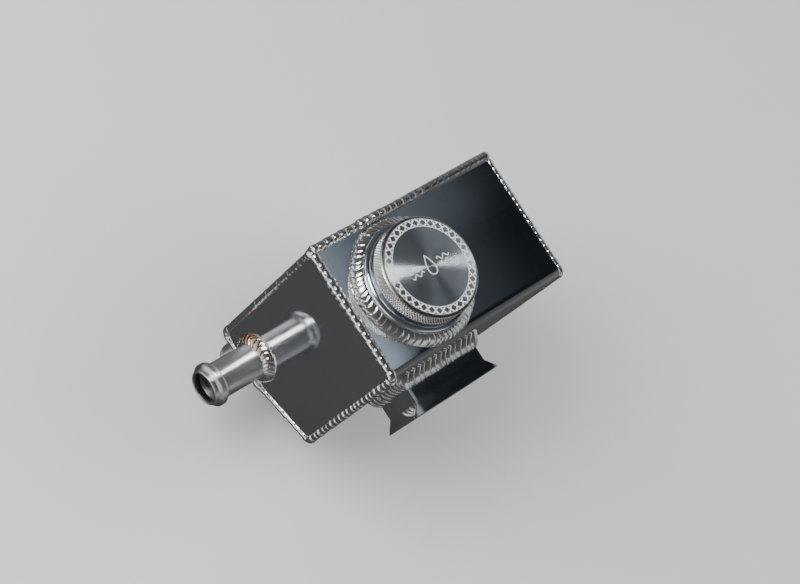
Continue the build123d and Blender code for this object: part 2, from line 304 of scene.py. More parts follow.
def grid_cut(piece, directions, spacing):
    """Slices a mesh by evenly spaced planes, so that flat panels can be bent a little."""
    with edited(piece.data) as work:
        for direction in directions:
            reach = [v.co.dot(direction) for v in work.verts]
            low, span = min(reach), max(reach) - min(reach)
            count = int(span / spacing)
            for k in range(1, count + 1):
                place = direction * (low + k * span / (count + 1))
                everything = work.verts[:] + work.edges[:] + work.faces[:]
                bmesh.ops.bisect_plane(work, geom=everything, plane_co=place, plane_no=direction, dist=1e-6)


def bend_panels(piece, depth, wavelength):
    """The slight waves that welding leaves in thin polished sheet."""
    for vertex in piece.data.vertices:
        place = vertex.co / wavelength
        wave = noise.noise_vector(place, noise_basis="PERLIN_ORIGINAL")
        vertex.co += wave * depth


# ==== welds ==============================================================================
def dime_edges(length, pitch, jitter, dice):
    """Where each ripple of a weld starts, a little unevenly, over the whole run."""
    count = max(4, round(length / pitch))
    sizes = [1 + dice.uniform(-jitter, jitter) for _ in range(count)]
    scale = length / sum(sizes)
    edges = [0.0]
    for size in sizes:
        edges.append(edges[-1] + size * scale)
    heights = [1 + dice.uniform(-0.35, 0.35) for _ in range(count)]
    return edges, heights


def ripple(place, edges, heights, closed):
    """Height of the weld's surface in a run of overlapping ripples, 0 to about 1."""
    length = edges[-1]
    place = place % length if closed else min(max(place, 0.0), length * 0.99999)
    low, high = 0, len(edges) - 1
    while high - low > 1:
        middle = (low + high) // 2
        if edges[middle] <= place:
            low = middle
        else:
            high = middle
    part = (place - edges[low]) / (edges[low + 1] - edges[low])
    return heights[low] * (1 - 0.75 * abs(2 * part - 1) ** 6 - 0.25 * part)


def rippled_weld(name, stations, length, closed, section, material, seed,
                 pitch, height, bow, tint=None, swell=None, calm=None):
    """A weld bead swept along stations of (root, out, up).

    section is a list of (out, up, push_out, push_up, across, share): a point, the way a ripple
    pushes it, its place across the bead from -1 to 1, and its share of the ripple's height.
    """
    dice = random.Random(seed)
    edges, heights = dime_edges(length, pitch, 0.22, dice)
    vertices, faces, tints = [], [], []
    count = len(stations)
    rows = len(section)
    for k, (root, out, up) in enumerate(stations):
        along = length * k / (count if closed else count - 1)
        grow = swell(root) if swell else 1.0
        wobble = 0.06 * noise.noise(root * 160.0)
        strength = height * (calm(root) if calm else 1.0)
        for a, b, push_a, push_b, across, share in section:
            lift = ripple(along + bow * across * across, edges, heights, closed)
            lift = strength * share * (lift - 0.6)
            a_place = a * (grow + wobble) + push_a * lift
            b_place = b * (grow + wobble) + push_b * lift
            vertices.append(root + out * a_place + up * b_place)
            tints.append(tint(vertices[-1]) if tint else 0.0)
    last = count if closed else count - 1
    for k in range(last):
        after = (k + 1) % count
        for i in range(rows):
            j = (i + 1) % rows
            faces.append((k * rows + i, k * rows + j, after * rows + j, after * rows + i))
    if not closed:
        faces.append(tuple(range(rows)))
        faces.append(tuple((count - 1) * rows + i for i in range(rows)))
    piece = make_object(name, vertices, faces, material, sharp_degrees=80.0)
    heat = piece.data.attributes.new("heat_tint", "FLOAT", "POINT")
    heat.data.foreach_set("value", tints)
    return piece


def corner_section(radius, points=18):
    """A bead that fills an outside corner: full where it shows, small where it is hidden."""
    section = []
    for k in range(points):
        angle = 2 * math.pi * k / points
        shown = 0.5 + 0.5 * math.cos(angle)
        reach = radius * (0.62 + 0.38 * min(1.0, 1.6 * shown))
        push_out, push_up = math.cos(angle + math.pi / 4), math.sin(angle + math.pi / 4)
        across = (angle if angle <= math.pi else angle - 2 * math.pi) / math.radians(135)
        share = min(1.0, 1.8 * shown)
        section.append((reach * push_out, reach * push_up, push_out, push_up, max(-1, min(1, across)), share))
    return section


def fillet_section(leg, height=None, root=0.6 * MM, points=15):
    """A slightly crowned bead in an inside corner, rooted a little into both parts."""
    height = height or leg
    section = []
    for k in range(points):
        across = 2 * k / (points - 1) - 1
        angle = math.pi / 4 * (1 + across)
        crown = 0.80 + 0.20 * abs(across) ** 2.2
        push_out, push_up = math.sin(angle), math.cos(angle)
        share = 1.0 - 0.45 * abs(across) ** 3
        section.append((leg * crown * push_out, height * crown * push_up, push_out, push_up, across, share))
    section += [(leg, -root, 0, 0, 1, 0), (-root, -root, 0, 0, 0, 0), (-root, height, 0, 0, -1, 0)]
    return section


def outline_stations(outline, to_space, up, step, closed=True, back_off=0.0):
    """Weld stations along a flat counter-clockwise outline. to_space turns (a, b) into a place."""
    points, length = resample(outline, step, closed)
    stations = []
    for k, point in enumerate(points):
        way = way_at(points, k, closed)
        out = Vector((way.y, -way.x))
        stations.append((to_space(point - out * back_off), to_space(out) - to_space(Vector((0, 0))), up))
    return stations, length


def round_stations(centre, axis, start, radius, step, back_off=0.0):
    """Weld stations round a circle; the ripples are counted along a circle back_off outside it."""
    side = axis.cross(start)
    length = 2 * math.pi * (radius + back_off)
    count = round(length / step)
    stations = []
    for k in range(count):
        angle = 2 * math.pi * k / count
        out = start * math.cos(angle) + side * math.sin(angle)
        stations.append((centre + out * radius, out, axis))
    return stations, length


def follow_bends(piece, foot_height, side_low, side_high):
    """Lowers the toe of a round weld where the panel under it curves away at a bend."""
    toward = 1 if foot_height > CAD_CENTRE.z else -1
    for vertex in piece.data.vertices:
        past = max(side_low + BEND_R - vertex.co.y, vertex.co.y - side_high + BEND_R, 0.0)
        drop = BEND_R - math.sqrt(max(BEND_R ** 2 - past ** 2, 0.0))
        above = abs(vertex.co.z - foot_height)
        vertex.co.z -= toward * drop * max(0.0, 1 - above / (NECK_WELD_LEG * 0.8))


# ==== materials ==========================================================================
def new_material(name, color, metallic, roughness):
    material = bpy.data.materials.new(name)
    material.use_nodes = True
    shader = material.node_tree.nodes["Principled BSDF"]
    shader.inputs["Base Color"].default_value = (*color, 1)
    shader.inputs["Metallic"].default_value = metallic
    shader.inputs["Roughness"].default_value = roughness
    return material, material.node_tree, shader


def add_node(tree, kind, inputs=None, **settings):
    node = tree.nodes.new(kind)
    for key, value in settings.items():
        setattr(node, key, value)
    for key, value in (inputs or {}).items():
        if isinstance(value, bpy.types.NodeSocket):
            tree.links.new(value, node.inputs[key])
        else:
            node.inputs[key].default_value = value
    return node


def plus(tree, first, second):
    return add_node(tree, "ShaderNodeMath", {0: first, 1: second}, operation="ADD").outputs[0]


def times(tree, first, second):
    return add_node(tree, "ShaderNodeMath", {0: first, 1: second}, operation="MULTIPLY").outputs[0]


def stretched_noise(tree, scale, stretch=(1, 1, 1), detail=4.0, turn=(0, 0, 0)):
    """Noise on object coordinates, drawn out along the axes by stretch."""
    place = add_node(tree, "ShaderNodeTexCoord").outputs["Object"]
    moved = add_node(tree, "ShaderNodeMapping", {"Vector": place, "Scale": stretch, "Rotation": turn})
    return add_node(tree, "ShaderNodeTexNoise", {"Vector": moved.outputs[0], "Scale": scale, "Detail": detail,
                                                 "Roughness": 0.6}).outputs["Fac"]


def ramp(tree, value, low, high, from_low=0.3, from_high=0.7):
    """Maps a value onto a range of numbers."""
    return add_node(tree, "ShaderNodeMapRange", {"Value": value, "From Min": from_low, "From Max": from_high,
                                                 "To Min": low, "To Max": high}).outputs["Result"]


def tinted(tree, value, dark, light, from_low=0.3, from_high=0.7):
    """A colour that runs between two tones with a value."""
    node = add_node(tree, "ShaderNodeValToRGB", {"Fac": value})
    node.color_ramp.elements[0].position = from_low
    node.color_ramp.elements[0].color = (*dark, 1)
    node.color_ramp.elements[1].position = from_high
    node.color_ramp.elements[1].color = (*light, 1)
    return node.outputs["Color"]


def dress(tree, shader, color, roughness, relief, strength, distance=0.1 * MM):
    """Feeds a surface its colour, its roughness (unless it is even) and a fine relief."""
    tree.links.new(color, shader.inputs["Base Color"])
    if roughness is not None:
        tree.links.new(roughness, shader.inputs["Roughness"])
    node = add_node(tree, "ShaderNodeBump", {"Height": relief, "Strength": strength, "Distance": distance})
    tree.links.new(node.outputs["Normal"], shader.inputs["Normal"])


def polished_sheet():
    """Mirror-polished sheet, with a faint haze and fine wipe marks in two directions."""
    material, tree, shader = new_material("polished_sheet", (0.86, 0.875, 0.9), 1.0, 0.04)
    haze = stretched_noise(tree, 26.0, detail=5.0)
    wipes = stretched_noise(tree, 420.0, (1.0, 0.04, 0.04), 3.0, (0.3, 0.5, 0.7))
    cross_wipes = stretched_noise(tree, 380.0, (0.04, 1.0, 0.04), 3.0, (0.2, 0.4, 0.5))
    marks = plus(tree, wipes, cross_wipes)
    dullness_and_groove_shade = plus(tree, ramp(tree, haze, 0.0, 0.05), ramp(tree, marks, 0.012, 0.07, 0.85, 1.3))
    dress(tree, shader, tinted(tree, haze, (0.80, 0.83, 0.87), (0.90, 0.91, 0.93)), dullness_and_groove_shade, marks, 0.03)
    return material


def weld_metal():
    """Bright weld bead, browned where the attribute heat_tint says."""
    material, tree, shader = new_material("weld_bead", (0.82, 0.82, 0.82), 1.0, 0.2)
    grain = stretched_noise(tree, 900.0, detail=6.0)
    cloud = stretched_noise(tree, 120.0, detail=3.0)
    heat = add_node(tree, "ShaderNodeAttribute", attribute_name="heat_tint").outputs["Fac"]
    metal = tinted(tree, grain, (0.84, 0.84, 0.84), (0.95, 0.95, 0.94))
    brown = tinted(tree, grain, (0.26, 0.11, 0.04), (0.66, 0.36, 0.18))
    color = blended(tree, times(tree, heat, ramp(tree, cloud, 0.5, 1.3)), metal, brown)
    dress(tree, shader, color, ramp(tree, cloud, 0.09, 0.22), grain, 0.06)
    return material


def blended(tree, factor, first, second):
    """A mix of two colours. The Mix node keeps sockets for each data type; these are its colour ones."""
    mix = tree.nodes.new("ShaderNodeMix")
    mix.data_type = "RGBA"
    colors = [socket for socket in mix.inputs if socket.type == "RGBA"]
    tree.links.new(factor, mix.inputs[0])
    tree.links.new(first, colors[0])
    tree.links.new(second, colors[1])
    return next(socket for socket in mix.outputs if socket.type == "RGBA")


def filler_radius(tree):
    """Distance from the filler's axis."""
    place = add_node(tree, "ShaderNodeTexCoord").outputs["Object"]
    axis_foot = (FILLER.x, FILLER.y, 0)
    centred = add_node(tree, "ShaderNodeVectorMath", {0: place, 1: axis_foot}, operation="SUBTRACT")
    flat = add_node(tree, "ShaderNodeVectorMath", {0: centred.outputs[0], 1: (1, 1, 0)}, operation="MULTIPLY")
    return add_node(tree, "ShaderNodeVectorMath", {0: flat.outputs[0]}, operation="LENGTH").outputs["Value"]


def grooved(tree, shader, axis, strength):
    """Turning marks round an axis: they smear a reflection across themselves."""
    shader.inputs["Anisotropic"].default_value = strength
    shader.inputs["Anisotropic Rotation"].default_value = 0.25
    tangent = add_node(tree, "ShaderNodeTangent", direction_type="RADIAL", axis=axis)
    tree.links.new(tangent.outputs[0], shader.inputs["Tangent"])


def turned_metal(name, roughness, groove_scale, anisotropy):
    """A lathe-cut surface: fine rings about the filler's axis."""
    material, tree, shader = new_material(name, (0.84, 0.85, 0.87), 1.0, roughness)
    place = {"W": filler_radius(tree), "Scale": groove_scale, "Detail": 3.0}
    rings = add_node(tree, "ShaderNodeTexNoise", place, noise_dimensions="1D").outputs["Fac"]
    smears = stretched_noise(tree, 60.0, detail=3.0)
    dress(tree, shader, tinted(tree, rings, (0.70, 0.76, 0.83), (0.80, 0.85, 0.90)),
          ramp(tree, smears, roughness * 0.8, roughness * 1.3), rings, 0.08)
    grooved(tree, shader, "Z", anisotropy)
    return material


def satin_metal(name, color, roughness, stretch=(1, 1, 1), scale=400.0, turned_about=None):
    """Drawn, milled or rolled metal, with its grain along one direction."""
    material, tree, shader = new_material(name, color, 1.0, roughness)
    grain = stretched_noise(tree, scale, stretch)
    cloud = stretched_noise(tree, 70.0, detail=3.0)
    light = tuple(min(1.0, c * 1.06) for c in color)
    dark = tuple(c * 0.9 for c in color)
    dress(tree, shader, tinted(tree, cloud, dark, light),
          ramp(tree, grain, roughness * 0.8, roughness * 1.25), grain, 0.05)
    if turned_about:
        grooved(tree, shader, turned_about, 0.9)
    return material


def knurled_metal():
    """The cap's rim: bright metal on the knurl's points, with painted shade (a near-black colour) and more
    roughness down in its grooves.
    """
    material, tree, shader = new_material("knurled_rim_with_groove_shade", (0.88, 0.86, 0.83), 1.0, 0.22)
    grain = stretched_noise(tree, 700.0)
    depth = ramp(tree, filler_radius(tree), 0.0, 1.0, CAP_R - KNURL_DEPTH, CAP_R - 0.15 * KNURL_DEPTH)
    bright = tinted(tree, grain, (0.86, 0.84, 0.80), (0.95, 0.93, 0.90))
    # painted shade: the grooves get a near-black colour that stands in for the shadow down in them
    dullness_and_groove_shade = tinted(tree, grain, (0.10, 0.10, 0.10), (0.20, 0.20, 0.19))
    color = blended(tree, depth, dullness_and_groove_shade, bright)
    dress(tree, shader, color, ramp(tree, depth, 0.5, 0.2, 0.0, 1.0), grain, 0.05)
    return material


def laser_mark():
    material, tree, shader = new_material("laser_mark", (0.9, 0.9, 0.9), 0.25, 0.55)
    grain = stretched_noise(tree, 2500.0, detail=3.0)
    color = tinted(tree, grain, (0.80, 0.80, 0.80), (0.96, 0.96, 0.95))
    dress(tree, shader, color, None, grain, 0.2, 0.05 * MM)
    return material


def black_rubber():
    material, tree, shader = new_material("nitrile_rubber", (0.02, 0.02, 0.02), 0.0, 0.5)
    grain = stretched_noise(tree, 1200.0)
    color = tinted(tree, grain, (0.012, 0.012, 0.013), (0.035, 0.035, 0.036))
    dress(tree, shader, color, ramp(tree, grain, 0.4, 0.65), grain, 0.15)
    return material


# ==== the object's pieces ================================================================
def place_piece(piece, body, slot, *nodes):
    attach(piece, body)
    if nodes:
        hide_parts(*nodes)
    return piece


def make_shell(material):
    """The folded wrapper, with its open seam corner, its holes and the waves of welding."""
    outer_corners = tank_corners()
    inner_corners = inset_outline(outer_corners, SHEET)
    seam, inner_seam = outer_corners[0], inner_corners[0]
    outer = rounded_outline(outer_corners, [0] + [BEND_R] * 4, steps=12)[1:]
    inner = rounded_outline(inner_corners, [0] + [BEND_R - SHEET] * 4, steps=12)[1:]
    outer = [seam + Vector((0, -NOTCH)), seam + Vector((-NOTCH, -NOTCH)), seam + Vector((-NOTCH, 0))] + outer
    nudge = 0.05 * MM
    inner = [inner_seam + Vector((0, -nudge)), inner_seam, inner_seam + Vector((-nudge, 0))] + inner
    vertices, faces = [], []
    for x in (FRONT_X + SHEET, REAR_X):
        vertices += [Vector((x, p.x, p.y)) for p in outer]
        vertices += [Vector((x, p.x, p.y)) for p in inner]
    count = len(outer)
    for i in range(count):
        j = (i + 1) % count
        faces.append((i, j, 2 * count + j, 2 * count + i))
        faces.append((count + i, 3 * count + i, 3 * count + j, count + j))
        faces.append((i, count + i, count + j, j))
        faces.append((2 * count + i, 2 * count + j, 3 * count + j, 3 * count + i))
    shell = make_object("wrapper_sheet", vertices, faces, material)
    cut(shell, cylinder_cutter(FILLER, Z, SPIGOT_R, 4 * SHEET, material))
    cut(shell, cylinder_cutter(BOTTOM_TUBE, Z, BOTTOM_TUBE_R, 2 * SHEET, material))
    grid_cut(shell, (X, Y, Z), 6 * MM)
    bend_panels(shell, 0.05 * MM, 34 * MM)
    finish_mesh(shell, 30.0)
    return place_piece(shell, "tank", "polished_sheet", "shell_wrapper")


def make_end_plate(name, x, inset, hole_at, node, material):
    """A flat plate, waved a little by its weld."""
    corners = inset_outline(tank_corners(), inset)
    outline = rounded_outline(corners, [0] + [BEND_R - inset] * 4, steps=8)
    vertices = [Vector((x, p.x, p.y)) for p in outline] + [Vector((x + SHEET, p.x, p.y)) for p in outline]
    plate = make_object(name, vertices, prism_faces(len(outline)), material)
    if hole_at:
        cut(plate, cylinder_cutter(hole_at, X, FRONT_TUBE_R, 4 * SHEET, material))
    grid_cut(plate, (Y, Z), 6 * MM)
    bend_panels(plate, 0.05 * MM, 38 * MM)
    finish_mesh(plate, 30.0)
    return place_piece(plate, "tank", "polished_sheet", node)


def make_tube(name, centre, axis, start, radius, wall, length, collar_radius, node, material, bore):
    """A drawn tube with a rolled collar near its end, a rounded mouth, and a bore in a dark material that
    paints the shade inside it.
    """
    middle, half = length - COLLAR_FROM_END, COLLAR_HALF
    rise = collar_radius - radius
    corners = [
        (radius - wall, -SHEET), (radius, -SHEET), (radius, middle - half - 0.4 * MM),
        (collar_radius, middle - half * 0.62), (collar_radius, middle + half * 0.62),
        (radius, middle + half + 0.4 * MM), (radius, length), (radius - wall, length),
    ]
    radii = [0, 0, 1.2 * MM, 1.3 * MM, 1.3 * MM, 0.9 * MM, 0.6 * MM, 0.6 * MM]
    profile = [(p.x, p.y) for p in rounded_outline(corners, radii, steps=7)]
    profile += [(radius - wall, middle + half), (radius - wall + rise * 0.55, middle),
                (radius - wall, middle - half)]
    tube = lathe(name, profile, centre, axis, start, material, segments=128, sharp_degrees=40.0)
    tube.data.materials.append(bore)
    # faces turned inward take the dark bore material: painted shade inside the tube
    for polygon in tube.data.polygons:
        offset = polygon.center - centre
        outward = (offset - axis * offset.dot(axis)).normalized()
        polygon.material_index = int(polygon.normal.dot(outward) < -0.5)
    return place_piece(tube, "tank", "tube_aluminium", node)


def corner_swell(places, gain, reach):
    """Beads pile up a little where a run stops at a corner."""
    def swell(root):
        near = min((Vector((root.y, root.z)) - place).length for place in places)
        return 1.0 + gain * math.exp(-(near / reach) ** 2)
    return swell


def calm_sides(root):
    """The ripples are bold along the top and the bracket's side, and softer along the other two."""
    if root.z > TOP_Z - 4 * MM:
        return 1.0
    if root.y < SHELL_LOW.y + 4 * MM:
        return 0.85
    return 0.4


def make_plate_weld(name, x, up, radius, inset, node, seed, pitch, height, material):
    """The bead round an end plate."""
    corners = inset_outline(tank_corners(), inset)
    outline = rounded_outline(corners, [radius + 0.7 * MM] + [BEND_R - inset] * 4, steps=14)
    stations, length = outline_stations(outline, lambda p: Vector((x, p.x, p.y)), up, 0.36 * MM)
    swell = corner_swell(tank_corners(), 0.28, 3.4 * MM)
    bead = rippled_weld(name, stations, length, True, corner_section(radius), material, seed, pitch=pitch,
                        height=height, bow=1.8 * MM, swell=swell, calm=calm_sides)
    return place_piece(bead, "tank", "weld_bead", node)


def make_seam_weld(material):
    """The bead along the wrapper's seam, heavy at first, then smoother and fuller to the rear."""
    corner = tank_corners()[0]
    length = REAR_X - FRONT_X
    start, end = FRONT_X + 0.8 * MM, REAR_X + 0.8 * MM
    count = round((end - start) / (0.36 * MM))
    stations = []
    for k in range(count + 1):
        part = k / count
        out = SEAM_BEAD_OUT * (0.7 + 0.9 * part)
        root = Vector((start + (end - start) * part, corner.x + out, corner.y + SEAM_BEAD_OUT))
        stations.append((root, Y, Z))

    def swell(root):
        part = (root.x - FRONT_X) / length
        past_end = max(0.0, (root.x - (REAR_X - 1.6 * MM)) / (2.6 * MM))
        return (1.0 + 0.20 * part) * math.sqrt(max(0.02, 1 - past_end ** 2))

    def calm(root):
        return 1.0 - 0.9 * min(1.0, max(0.0, (root.x - FRONT_X) / length - 0.3) / 0.35)

    bead = rippled_weld("seam_bead", stations, end - start, False, corner_section(SEAM_BEAD_R), material, 11,
                        pitch=4.2 * MM, height=1.0 * MM, bow=1.8 * MM, swell=swell, calm=calm)
    return place_piece(bead, "tank", "weld_bead", "seam_weld")


def make_corner_welds(material):
    make_plate_weld("front_plate_bead", FRONT_X + FRONT_BEAD_BACK, -X, FRONT_BEAD_R, FRONT_BEAD_INSET,
                    "front_end_weld", 3, 4.4 * MM, 0.95 * MM, material)
    make_plate_weld("rear_plate_bead", REAR_X, X, REAR_BEAD_R, REAR_BEAD_INSET, "rear_end_weld", 7, 3.8 * MM,
                    0.4 * MM, material)
    make_seam_weld(material)


def spot_tint(centre, reach):
    """A heat mark that fades away from a place on a weld."""
    def tint(place):
        return math.exp(-((place - centre).length / reach) ** 2)
    return tint


def make_round_weld(name, node, centre, axis, start, radius, leg, step, seed, material, **ripples):
    """A fillet weld round a tube or the neck."""
    stations, length = round_stations(centre, axis, start, radius, step, leg / 2)
    bead = rippled_weld(name, stations, length, True, fillet_section(leg), material, seed, **ripples)
    return place_piece(bead, "tank", "weld_bead", node)


def make_round_welds(material):
    """Fillet welds round the neck and the two hose tubes."""
    mark = Vector((FILLER.x + 12 * MM, SHELL_LOW.y + 1.5 * MM, TOP_Z))
    neck = make_round_weld("filler_neck_bead", "filler_neck_weld", FILLER, Z, X, NECK_R, NECK_WELD_LEG,
                           0.25 * MM, 5, material, pitch=3.3 * MM, height=0.7 * MM, bow=1.4 * MM,
                           tint=spot_tint(mark, 4 * MM))
    follow_bends(neck, TOP_Z, SHELL_LOW.y, SHELL_HIGH.y)

    def smooth_below(root):
        low = (FRONT_TUBE.y - root.y) / FRONT_TUBE_R - 0.5 * (root.z - FRONT_TUBE.z) / FRONT_TUBE_R
        return 1.0 - 0.85 * min(1.0, max(0.0, (low - 0.35) / 0.35))

    mark = FRONT_TUBE + Vector((-2, 10.5, 6.5)) * MM
    make_round_weld("front_tube_bead", "front_hose_tube_weld", FRONT_TUBE, -X, Y, FRONT_TUBE_R,
                    FRONT_WELD_LEG, 0.25 * MM, 9, material, pitch=2.9 * MM, height=0.75 * MM,
                    bow=1.5 * MM, tint=spot_tint(mark, 10.5 * MM), calm=smooth_below)
    low = make_round_weld("bottom_tube_bead", "bottom_hose_tube_weld", BOTTOM_TUBE, -Z, X, BOTTOM_TUBE_R,
                          BOTTOM_WELD_LEG, 0.28 * MM, 13, material, pitch=2.4 * MM, height=0.5 * MM,
                          bow=1.3 * MM)
    follow_bends(low, SHELL_LOW.z, SHELL_LOW.y - 2 * BEND_R, SHELL_HIGH.y)


def make_dovetail(material, weld):
    """The flared mounting block and the heavy weld round its root."""
    middle = (DOVETAIL_LOW + DOVETAIL_HIGH) / 2
    neck = DOVETAIL_NECK / 2
    wide = (DOVETAIL_HIGH.x - DOVETAIL_LOW.x) / 2
    root_y, face_y = DOVETAIL_HIGH.y, DOVETAIL_LOW.y
    half = [(neck, root_y), (neck, face_y + DOVETAIL_LIP), (wide, face_y)]
    outline = [Vector((middle.x + a, b)) for a, b in half]
    outline += [Vector((middle.x - a, b)) for a, b in reversed(half)]
    vertices = [Vector((p.x, p.y, z)) for z in (DOVETAIL_LOW.z, DOVETAIL_HIGH.z) for p in outline]
    block = make_object("dovetail_block", vertices, prism_faces(len(outline)), material)
    edges = block.modifiers.new("edges", "BEVEL")
    edges.width = 0.35 * MM
    edges.segments = 3
    edges.limit_method = "ANGLE"
    apply_modifiers(block)
    grid_cut(block, (X, Y), 2 * MM)
    for vertex in block.data.vertices:
        beyond = max(0.0, abs(vertex.co.x - middle.x) - neck) / (wide - neck)
        inward = 1 if vertex.co.z < middle.z else -1
        vertex.co.z += inward * TIP_WEAR * beyond ** 1.6
    finish_mesh(block, 30.0)
    block.modifiers.new("flat_faces", "WEIGHTED_NORMAL").keep_sharp = True
    apply_modifiers(block)
    place_piece(block, "tank", "milled_aluminium", "mounting_dovetail")

    leg = DOVETAIL_WELD_LEG
    corner = 0.6 * MM + leg / 2
    half_x, half_z = neck + leg / 2, (DOVETAIL_HIGH.z - DOVETAIL_LOW.z) / 2 + leg / 2
    path = [(middle.x - half_x, middle.z - half_z), (middle.x + half_x, middle.z - half_z),
            (middle.x + half_x, middle.z + half_z), (middle.x - half_x, middle.z + half_z)]
    outline = rounded_outline([Vector(p) for p in path], [corner] * 4, steps=14)
    stations, length = outline_stations(outline, lambda p: Vector((p.x, root_y, p.y)), -Y, 0.3 * MM,
                                        back_off=leg / 2)
    section = fillet_section(leg, DOVETAIL_WELD_DEPTH)
    bead = rippled_weld("dovetail_bead", stations, length, True, section, weld, 17, pitch=3.7 * MM,
                        height=1.0 * MM, bow=2.2 * MM)
    place_piece(bead, "tank", "weld_bead", "mounting_dovetail_weld")


def thread_wave(angle, height):
    """0 in the root and 1 at the crest of a right-hand thread."""
    turn = (height / THREAD_PITCH - angle / (2 * math.pi)) % 1.0
    return min(1.0, max(0.0, 1.6 - 3.2 * abs(turn - 0.5)))


def steps_between(low, high, step):
    count = max(1, math.ceil((high - low) / step))
    return [low + (high - low) * k / count for k in range(count + 1)]


def make_neck(material):
    """The turned filler neck, with its rounded flange, threaded bore and strainer ledge."""
    rise, drop = NECK_HIGH.z - TOP_Z, NECK_LOW.z - TOP_Z
    bore, ledge = 20.9 * MM, 18.5 * MM
    outer = [(ledge, drop), (SPIGOT_R, drop), (SPIGOT_R, 0), (NECK_R, 0), (NECK_R, rise),
             (bore + 1.4 * MM, rise), (bore, rise - 0.9 * MM)]
    rounding = [0.3 * MM, 0.3 * MM, 0, 0, 2.6 * MM, 0.8 * MM, 0]
    profile = [(p.x, p.y) for p in rounded_outline(outer, rounding, steps=9, closed=False)]
    thread_low, thread_high = drop + SHEET + 0.8 * MM, rise - 1.2 * MM
    threaded = [(bore, z) for z in reversed(steps_between(thread_low, thread_high, 0.2 * MM))]
    first = len(profile)
    profile += threaded + [(bore, drop + SHEET), (ledge, drop + SHEET)]

    def cut_thread(i, radius, angle, height):
        if not first <= i < first + len(threaded):
            return radius
        fade = min(1.0, (thread_high - height) / MM, (height - thread_low) / MM)
        return radius - 0.75 * MM * thread_wave(angle, height) * max(0.0, fade)

    neck = lathe("filler_neck_ring", profile, FILLER, Z, X, material, segments=144, shape=cut_thread)
    return place_piece(neck, "tank", "turned_aluminium", "filler_neck")


def make_cap(turned, knurled, marks):
    """The screw cap: knurled head, threaded stub and the engraved ring on its face."""
    high = CAP_HIGH.z - TOP_Z
    low = high - CAP_THICKNESS
    roof, groove_top = high - CAP_ROOF, low + GROOVE_DEPTH
    edge, low_edge = 1.2 * MM, 0.5 * MM
    face = [(0, high), (CAP_R - edge, high)]
    knurl_rows = steps_between(low + low_edge, high - edge, 0.22 * MM)
    rim = [(CAP_R, z) for z in reversed(knurl_rows)]
    under = [(CAP_R - low_edge, low), (GROOVE_R, low), (GROOVE_R, groove_top), (0, groove_top)]
    profile = face + rim + under
    first = len(face)

    def knurl(i, radius, angle, height):
        if not first <= i < first + len(rim):
            return radius
        around = KNURLS * angle / (2 * math.pi)
        climb = (height - low) / (2.4 * MM)
        ridges = [1 - abs(2 * ((around + sign * climb) % 1.0) - 1) for sign in (-1, 1)]
        fade = min(1.0, (height - knurl_rows[0]) / (0.5 * MM), (knurl_rows[-1] - height) / (0.5 * MM))
        return radius - KNURL_DEPTH * (1 - min(1.0, 1.15 * min(ridges) + 0.2 * max(ridges))) * max(0.0, fade)

    head = lathe("cap_head", profile, FILLER, Z, X, turned, KNURLS * 8, knurl, sharp_degrees=50.0)
    head.data.materials.append(knurled)
    for polygon in head.data.polygons:
        flat_r = (polygon.center - FILLER).to_2d().length
        if flat_r > CAP_R - 0.7 * MM and abs(polygon.normal.z) < 0.9:
            polygon.material_index = 1
    place_piece(head, "cap", "turned_aluminium", "cap_body")

    stub_low = CAP_LOW.z - TOP_Z
    thread_low, thread_high = stub_low + 0.8 * MM, groove_top - 1.6 * MM
    outer = [(RECESS_R, roof + 0.2 * MM), (RECESS_R, stub_low), (STUB_R - 1.4 * MM, stub_low),
             (STUB_R - 0.8 * MM, stub_low + 0.6 * MM)]
    threaded = [(STUB_R - 0.8 * MM, z) for z in steps_between(thread_low, thread_high, 0.2 * MM)]
    profile = outer + threaded + [(STUB_R - 0.8 * MM, groove_top + 0.2 * MM)]

    def cut_thread(i, radius, angle, height):
        if not len(outer) <= i < len(outer) + len(threaded):
            return radius
        fade = min(1.0, (thread_high - height) / MM, (height - thread_low) / MM)
        return radius + 0.75 * MM * (1 - thread_wave(angle, height)) * max(0.0, fade)

    stub = lathe("cap_stub", profile, FILLER, Z, X, turned, segments=144, shape=cut_thread)
    place_piece(stub, "cap", "turned_aluminium", "cap_body")
    make_marks(high, marks)


def lattice_cell():
    """One cell of the engraved lattice in (around, outward) units of 0 to 1, as triangles.

    Half a dark diamond stands at each side, and a small dark wedge above and below the crossing.
    """
    tip, side = 0.06, 0.43
    left = [(0, tip), (side, 0.5), (0, 1 - tip)]
    right = [(1 - a, b) for a, b in reversed(left)]
    wedges = [[(0.28, 0.07), (0.72, 0.07), (0.5, 0.34)], [(0.5, 0.66), (0.72, 0.93), (0.28, 0.93)]]
    rim = [(0, 0), (1, 0)] + list(reversed(right)) + [(1, 1), (0, 1)] + list(reversed(left))
    points, edges = [], []
    for loop in [rim] + wedges:
        first = len(points)
        points += [Vector(p) for p in loop]
        edges += [(first + i, first + (i + 1) % len(loop)) for i in range(len(loop))]
    verts, _, faces, _, _, _ = delaunay_2d_cdt(points, edges, [], 0, 1e-6)
    kept = []
    for face in faces:
        centre = sum((verts[i] for i in face), Vector((0, 0))) / len(face)
        if not any(inside(centre, shape) for shape in [left, right] + wedges):
            kept.append(tuple(face))
    return verts, kept


def inside(point, shape):
    signs = set()
    for a, b in zip(shape, shape[1:] + shape[:1]):
        side = (b[0] - a[0]) * (point.y - a[1]) - (b[1] - a[1]) * (point.x - a[0])
        signs.add(side > 0)
    return len(signs) == 1


